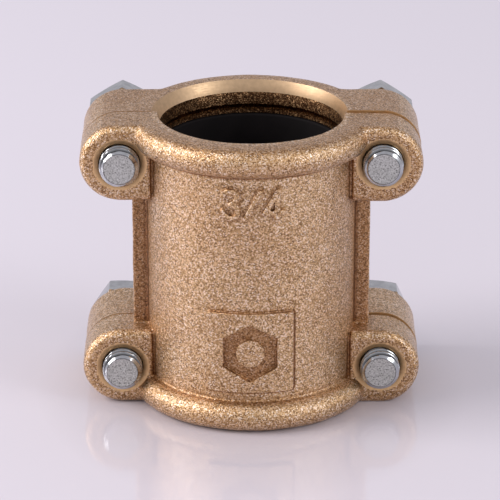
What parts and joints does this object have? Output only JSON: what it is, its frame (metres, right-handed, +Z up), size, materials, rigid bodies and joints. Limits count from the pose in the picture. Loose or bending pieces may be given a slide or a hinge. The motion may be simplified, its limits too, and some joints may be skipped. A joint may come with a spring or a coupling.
{
  "type": "split pipe repair coupling",
  "caption": "Split pipe coupling: two cast bronze half shells drawn round a rubber-lined bore by hex screws through side lugs.",
  "frame": {"origin": "on the pipe axis at the lower end face", "axes": "+Z up along the pipe, +X across the lugs, -Y to the front, through the half shell with the threaded lugs"},
  "size_m": [0.0504, 0.0364, 0.044],
  "materials": {
    "cast_bronze_front": "shot-blasted sand casting with machined end cone and screw seats",
    "cast_bronze_rear": "shot-blasted sand casting with machined end cone and screw seats",
    "rubber": "matt black moulded rubber",
    "zinc_steel": "bright zinc plate"
  },
  "bodies": {
    "rear_half": {"rear_shell": "cast_bronze_rear", "rubber_sleeve": "rubber"},
    "front_half": {"front_shell": "cast_bronze_front"},
    "screw_ul": {"screw_upper_left": "zinc_steel"},
    "screw_ur": {"screw_upper_right": "zinc_steel"},
    "screw_ll": {"screw_lower_left": "zinc_steel"},
    "screw_lr": {"screw_lower_right": "zinc_steel"}
  },
  "joints": [
    {"name": "front_half_slide", "type": "slide", "parent": "rear_half", "child": "front_half", "axis": [0, -1, 0], "range_m": [0, 0.008]},
    {"name": "screw_ul_turn", "type": "hinge", "parent": "rear_half", "child": "screw_ul", "pos_m": [-0.0192, 0, 0.03815], "axis": [0, 1, 0], "range_deg": [0, 2880]},
    {"name": "screw_ur_turn", "type": "hinge", "parent": "rear_half", "child": "screw_ur", "pos_m": [0.0192, 0, 0.03815], "axis": [0, 1, 0], "range_deg": [0, 2880]},
    {"name": "screw_ll_turn", "type": "hinge", "parent": "rear_half", "child": "screw_ll", "pos_m": [-0.0192, 0, 0.00585], "axis": [0, 1, 0], "range_deg": [0, 2880]},
    {"name": "screw_lr_turn", "type": "hinge", "parent": "rear_half", "child": "screw_lr", "pos_m": [0.0192, 0, 0.00585], "axis": [0, 1, 0], "range_deg": [0, 2880]}
  ],
  "couplings": [
    {"joint": "screw_ul_turn", "follows": "front_half_slide", "rad_per_m": 6283.2},
    {"joint": "screw_ur_turn", "follows": "front_half_slide", "rad_per_m": 6283.2},
    {"joint": "screw_ll_turn", "follows": "front_half_slide", "rad_per_m": 6283.2},
    {"joint": "screw_lr_turn", "follows": "front_half_slide", "rad_per_m": 6283.2}
  ]
}
